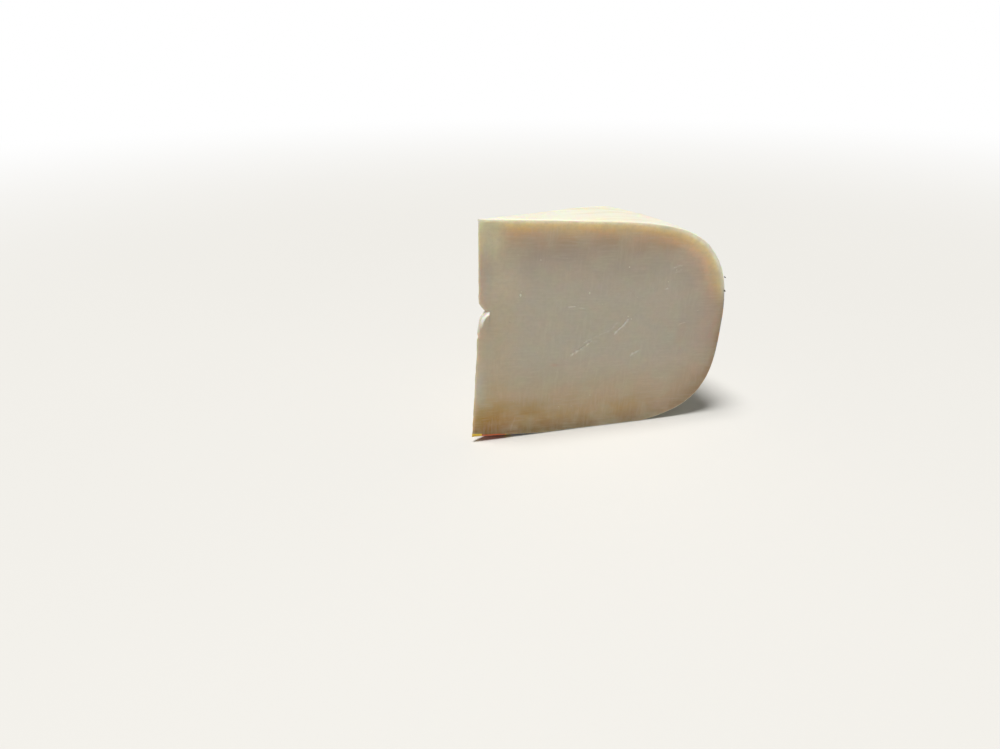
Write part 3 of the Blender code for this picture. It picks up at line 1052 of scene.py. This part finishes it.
def label_finish():
    """Rings of print round a yellow middle, with rust lozenges in the outer ring."""
    finish = Finish("label_print", {"IOR": 1.46, "Coat Roughness": 0.3})
    place = finish.vector_attribute("place")
    radius, around, _height = finish.parts(place)
    middle = finish.mix(finish.noise(place, 0.01, 2.0), YELLOW,
                        (0.74, 0.50, 0.06))
    layers = [(edge_at(finish, radius, start, LABEL_BLUR), ink) for start, ink in LABEL_RINGS]
    lines = line_at(finish, repeated(finish, radius, RING_LINE_PITCH), RING_LINE, LABEL_BLUR)
    ring = finish.step(radius, 0.0222, 0.0224) * finish.step(radius, 0.0316, 0.0314)
    shape = lozenge(around * (radius / WHEEL_RADIUS), radius - LABEL_LOZENGES, 0.0085, 0.0150)
    layers += [(lines * ring * 0.7, (0.70, 0.74, 0.78)),
               (edge_at(finish, shape, -0.10, 0.02), PALE), (edge_at(finish, shape, 0.0, 0.02), RED),
               (edge_at(finish, shape, 0.44, 0.02), (0.78, 0.36, 0.03))]
    crease = finish.noise(place, 0.006, 3.0)
    return finish.finished(colour=finish.layered(middle, layers),
                           roughness=0.42 + (crease - 0.5) * 0.2, coat=0.2,
                           normal=finish.bump(crease, MM * 0.1, 0.5))


def scrap_finish():
    finish = Finish("band_scrap", {"IOR": 1.46})
    place = finish.own_place()
    worn = finish.noise(place, 0.0004, 2.0)
    colour = finish.mix(finish.step(worn, 0.45, 0.6), NAVY, (0.16, 0.12, 0.07))
    return finish.finished(colour=colour, roughness=0.45 + (worn - 0.5) * 0.2)


def crumb_finish():
    finish = Finish("crumb_paste", {
        "Subsurface Weight": 0.7, "Subsurface Radius": (1.0, 0.6, 0.35),
        "Subsurface Scale": 0.0008})
    place = finish.own_place()
    grain = finish.noise(place, 0.0004, 2.0)
    colour = finish.mix(grain, (0.84, 0.80, 0.68), (0.74, 0.69, 0.54))
    return finish.finished(colour=colour, roughness=0.5 + (grain - 0.5) * 0.2,
                           normal=finish.bump(grain, MM * 0.1, 0.5))


# The pieces.

def make_cheese(finish):
    """The block of cheese, still in the wheel frame."""
    bm = graded_block()
    block = box_points(bm)
    places, facts = shape_cheese(block)
    body = new_piece("cheese_body", bm, finish)
    move_mesh(body.data, places)
    write_facts(body.data, facts)
    return body, block, facts


def label_wrap(radius):
    """How far the label is dragged up a cut face, by distance from the axis."""
    ragged = rough(np.stack([radius, radius * 0], axis=1), (1.4 * MM, 1 * MM), 51.0, 3)
    return np.interp(radius, *zip(*LABEL_WRAP)) * (1 + 0.6 * ragged)


def make_films(body, block, facts, band_look, label_look):
    radius = facts["place"][:, 0]
    depth = facts["depth"] * MM
    to_cut = radius * np.sin(2 * HALF_ANGLE * np.minimum(block[:, 1], 1 - block[:, 1]))
    pulled_in = LABEL_PULL * ease(radius, LABEL_PULL_START, LABEL_PULL_END)
    underneath = (block[:, 2] < TINY) & (to_cut >= pulled_in)
    dragged = (block[:, 2] < 0.2) & (depth < label_wrap(radius))
    label = film_from(body.data, "base_label_film",
                      (radius < LABEL_RADIUS) & (underneath | dragged), label_look)
    half = BAND_WIDTH / 2
    band = film_from(body.data, "rind_band_film", block[:, 0] > 1 - TINY, band_look,
                     trim=((BAND_MIDDLE + half, 1), (BAND_MIDDLE - half, -1)))
    return band, label


def face_place(radius, height, side):
    """A place on a cut face, in the wheel frame, with the direction out of the face."""
    out = cut_relief(np.array([radius]), np.array([height]), np.array([float(side)]))[0]
    angle = side * HALF_ANGLE
    away = Vector((-side * math.sin(angle), side * math.cos(angle), 0))
    level = Vector((radius * math.cos(angle), radius * math.sin(angle), height))
    return level + away * float(out), away


def crumb_places():
    """Crumbs by size: those that catch the eye, those along a scratch, and stray ones."""
    chance = random.Random(11)
    spots = [(radius, height, size, -1) for radius, height, size in NEAR_CRUMBS]
    for start, end, _depth, _width, broken in SCRATCHES[:CRUMBED_SCRATCHES]:
        run = Vector(end) - Vector(start)
        most = (0.12 + 0.16 * broken) * MM
        for step in range(int(run.length / SCRATCH_CRUMB_STEP)):
            place = Vector(start) + run.normalized() * step * SCRATCH_CRUMB_STEP
            size = chance.uniform(0.5, 1.0) * most
            spots.append((place.x + chance.uniform(-0.3, 0.3) * MM,
                          place.y + chance.uniform(-0.3, 0.3) * MM, size, -1))
    for _ in range(STRAY_CRUMBS):
        radius = chance.uniform(14, 106) * MM
        height = chance.uniform(-38, 40) * MM
        size = (0.10 + 0.22 * chance.random() ** 3) * MM
        spots.append((radius, height, size, chance.choice((-1, 1, 1))))
    return spots


def add_lump(bm, size, moved):
    """A small lump, each of whose points goes where moved takes it."""
    for vertex in bmesh.ops.create_icosphere(bm, subdivisions=2, radius=size)["verts"]:
        vertex.co = moved(vertex.co)


def make_crumbs(finish):
    """Loose crumbs of paste that cling to the cut faces."""
    chance = random.Random(5)
    bm = bmesh.new()
    for radius, height, size, side in crumb_places():
        place, away = face_place(radius, height, side)
        stretch = Vector((chance.uniform(0.7, 1.4), chance.uniform(0.7, 1.4),
                          chance.uniform(0.7, 1.5)))
        turn = Matrix.Rotation(chance.uniform(0, math.tau), 3, "Y")

        def crumbled(point):
            bump = 1 + 0.35 * noise.noise(point / size + Vector((radius, height, 0)) * 900)
            shaped = turn @ Vector(c * s for c, s in zip(point * bump, stretch))
            return place + shaped - away * (shaped.dot(away) * 0.45 + size * 0.12)

        add_lump(bm, size, crumbled)
    return new_piece("cheese_crumbs", bm, finish)


def make_scraps(finish):
    """Flakes of the band that the wire dragged out over the near cut edge."""
    chance = random.Random(23)
    bm = bmesh.new()
    for radius, height, size in BAND_SCRAPS:
        place, away = face_place(radius, height, -1)
        turn = Matrix.Rotation(chance.uniform(0.2, 1.0), 3, away)

        def torn(point):
            ripple = 1 + 0.3 * noise.noise(point / size * 1.7 + Vector((height, 0, 0)) * 900)
            shaped = Vector((point.x * 0.45, point.y * 0.3, point.z)) * ripple
            return place + turn @ shaped - away * size * 0.2

        add_lump(bm, size, torn)
    return new_piece("band_scraps", bm, finish)


# Studio.

def make_floor():
    finish = Finish("studio_floor", {"Roughness": 0.7})
    place = finish.own_place()
    length = finish.node("VectorMath", {"operation": "LENGTH"}, {0: place}).outputs["Value"]
    far = finish.step(length, 0.3, 1.4)
    tint = finish.noise(place, 0.3, 2.0)
    colour = finish.mix(tint, (0.685, 0.68, 0.665), (0.70, 0.695, 0.68))
    finish.finished(colour=colour)
    glow = finish.node("Emission", {}, {"Color": (1.0, 1.0, 1.0), "Strength": 1.0})
    blend = finish.node("MixShader", {}, {0: far, 1: finish.shader.outputs[0],
                                          2: glow.outputs[0]})
    output = finish.tree.nodes["Material Output"]
    finish.tree.links.new(blend.outputs[0], output.inputs["Surface"])
    bm = bmesh.new()
    bmesh.ops.create_circle(bm, cap_ends=True, segments=96, radius=30.0)
    floor = new_piece("studio_floor", bm, finish.material, smooth=False)


def make_world():
    """Dim all-round light, with a white ground behind the object."""
    world = bpy.data.worlds.new("studio")
    bpy.context.scene.world = world
    world.use_nodes = True
    nodes, links = world.node_tree.nodes, world.node_tree.links
    dim = nodes["Background"]
    dim.inputs["Color"].default_value = (1.0, 0.99, 0.97, 1.0)
    dim.inputs["Strength"].default_value = 0.14
    white = nodes.new("ShaderNodeBackground")
    white.inputs["Color"].default_value = (1, 1, 1, 1)
    seen = nodes.new("ShaderNodeLightPath")
    mixed = nodes.new("ShaderNodeMixShader")
    links.new(seen.outputs["Is Camera Ray"], mixed.inputs[0])
    links.new(dim.outputs[0], mixed.inputs[1])
    links.new(white.outputs[0], mixed.inputs[2])
    links.new(mixed.outputs[0], nodes["World Output"].inputs["Surface"])


def make_lights():
    """One soft light from above, a little to the left and in front."""
    light = bpy.data.lights.new("overhead", "SUN")
    light.energy = 3.7
    light.angle = math.radians(24)
    light.color = (1.0, 0.985, 0.95)
    lamp = new_object("overhead", light)
    lamp.rotation_euler = TOWARDS_LIGHT.to_track_quat("Z", "Y").to_euler()


def make_camera():
    data = bpy.data.cameras.new("camera")
    data.lens = CAMERA_LENS
    data.sensor_width = CAMERA_SENSOR
    camera = new_object("camera", data)
    camera.matrix_world = (Matrix.Translation(CAMERA_PLACE)
                           @ Matrix.Rotation(CAMERA_TURN, 4, "Z")
                           @ Matrix.Rotation(math.pi / 2 - CAMERA_PITCH, 4, "X")
                           @ Matrix.Rotation(CAMERA_ROLL, 4, "Z"))
    bpy.context.scene.camera = camera


def main():
    make_camera()
    make_world()
    make_lights()
    make_floor()
    body, block, facts = make_cheese(cheese_finish())
    band, label = make_films(body, block, facts, band_finish(), label_finish())
    crumbs = make_crumbs(crumb_finish())
    scraps = make_scraps(scrap_finish())
    for piece in (body, band, label, crumbs, scraps):
        move_mesh(piece.data, stand(places_of(piece.data)))
        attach(piece, "root")
    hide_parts("cheese_wedge")
    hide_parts("rind_band")
    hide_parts("base_label")
    bpy.context.scene.view_settings.view_transform = "Standard"


main()
